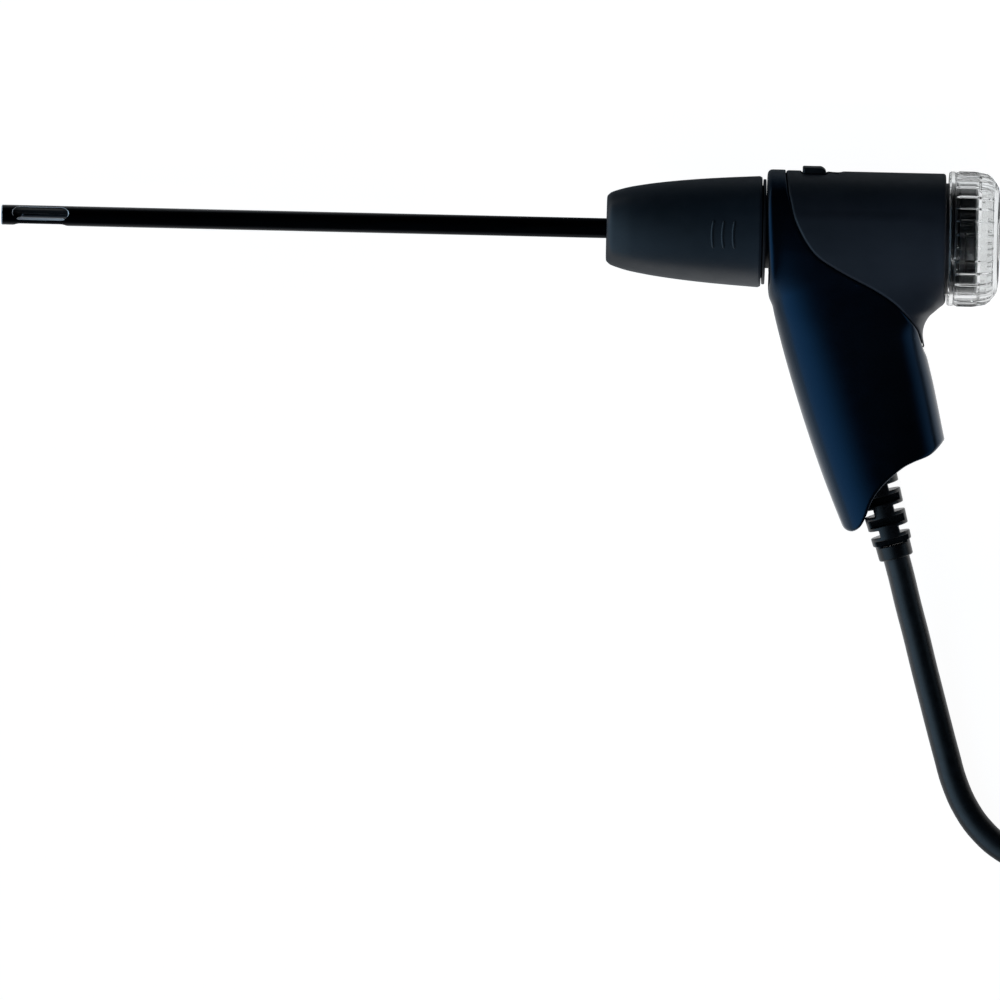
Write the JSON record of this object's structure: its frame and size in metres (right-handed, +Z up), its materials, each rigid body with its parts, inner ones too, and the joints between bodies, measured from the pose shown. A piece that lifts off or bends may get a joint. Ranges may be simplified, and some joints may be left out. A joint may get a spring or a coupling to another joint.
{
  "type": "flue gas sampling probe",
  "caption": "Pistol-grip flue gas sampling probe with a slim shaft, tapered cone, latch button, clear filter cap and a hose coiled beside it, lying on its side",
  "frame": {"origin": "centre of the footprint of the probe without its hose and plug, on the surface it lies on", "axes": "+X runs along the barrel from the shaft's tip to the clear cap, +Y runs up the grip towards the latch button, +Z is up from the surface"},
  "size_m": [0.4419, 0.2125, 0.0403],
  "materials": {
    "shaft_steel": "dark, heat-tinted steel tube",
    "sheath_steel": "bright drawn sheath",
    "cone_plastic": "fine satin",
    "barrel_plastic": "fine spark-eroded texture",
    "grip_plastic": "satin gloss, soft-touch",
    "black_plastic": "moulded",
    "boot_rubber": "moulded, matt",
    "hose_rubber": "smooth, semi-gloss",
    "seal_rubber": "greased",
    "clear_plastic": "clear, fluted outside",
    "filter_felt": "pressed fibre",
    "silicone": "translucent",
    "brass": "turned",
    "board": "solder mask",
    "screw_steel": "zinc plated"
  },
  "bodies": {
    "handle": {"grip_shell_left": "grip_plastic", "grip_shell_right": "grip_plastic", "barrel_shell": "barrel_plastic", "socket_sleeve": "black_plastic", "contact_block": "black_plastic", "gas_block": "black_plastic", "filter_seat": "black_plastic", "filter_holder": "black_plastic", "cap_seal": "seal_rubber", "probe_board": "board", "board_socket": "black_plastic", "gas_tube": "silicone", "draft_tube": "silicone", "probe_lead": "seal_rubber", "handle_lead": "seal_rubber", "grip_floor": "black_plastic", "hose_barb": "brass", "strain_boot": "boot_rubber", "grip_screw_1": "screw_steel", "grip_screw_2": "screw_steel", "grip_screw_3": "screw_steel", "grip_screw_4": "screw_steel", "latch_spring": "screw_steel", "hose_run": "hose_rubber", "hose_coil": "hose_rubber", "hose_tail": "hose_rubber", "coil_tie": "boot_rubber", "plug_boot": "boot_rubber", "plug_body": "black_plastic", "plug_gas_port": "brass", "plug_draft_port": "brass", "plug_contacts": "brass"},
    "module": {"probe_shaft": "shaft_steel", "thermocouple": "sheath_steel", "thermocouple_guide": "sheath_steel", "thermocouple_head": "black_plastic", "contact_pin_1": "brass", "contact_pin_2": "brass", "cone_shell": "cone_plastic", "shaft_gland": "seal_rubber", "module_spigot": "black_plastic", "spigot_seal_front": "seal_rubber", "spigot_seal_back": "seal_rubber"},
    "latch": {"latch_button": "black_plastic", "latch_ring": "black_plastic"},
    "filter": {"filter_disc": "filter_felt"},
    "cap": {"filter_cap": "clear_plastic"},
    "lock_ring": {"plug_ring": "barrel_plastic"}
  },
  "joints": [
    {"name": "latch_press", "type": "slide", "parent": "handle", "child": "latch", "axis": [0, -0.9963, -0.0854], "range_m": [0, 0.0022], "stiffness_N_per_m": 1200, "springref_m": -0.0015, "deforming": ["latch_spring"]},
    {"name": "module_pull", "type": "slide", "parent": "handle", "child": "module", "axis": [-1, 0, 0], "range_m": [0, 0.06]},
    {"name": "filter_pull", "type": "slide", "parent": "handle", "child": "filter", "axis": [1, 0, 0], "range_m": [0, 0.03]},
    {"name": "cap_twist", "type": "hinge", "parent": "filter", "child": "cap", "pos_m": [0.1344, 0.03802, 0.02013], "axis": [1, 0, 0], "range_deg": [0, 25]},
    {"name": "lock_ring_twist", "type": "hinge", "parent": "handle", "child": "lock_ring", "pos_m": [0.278, -0.0014, 0.0143], "axis": [0, 1, 0], "range_deg": [0, 45]}
  ]
}
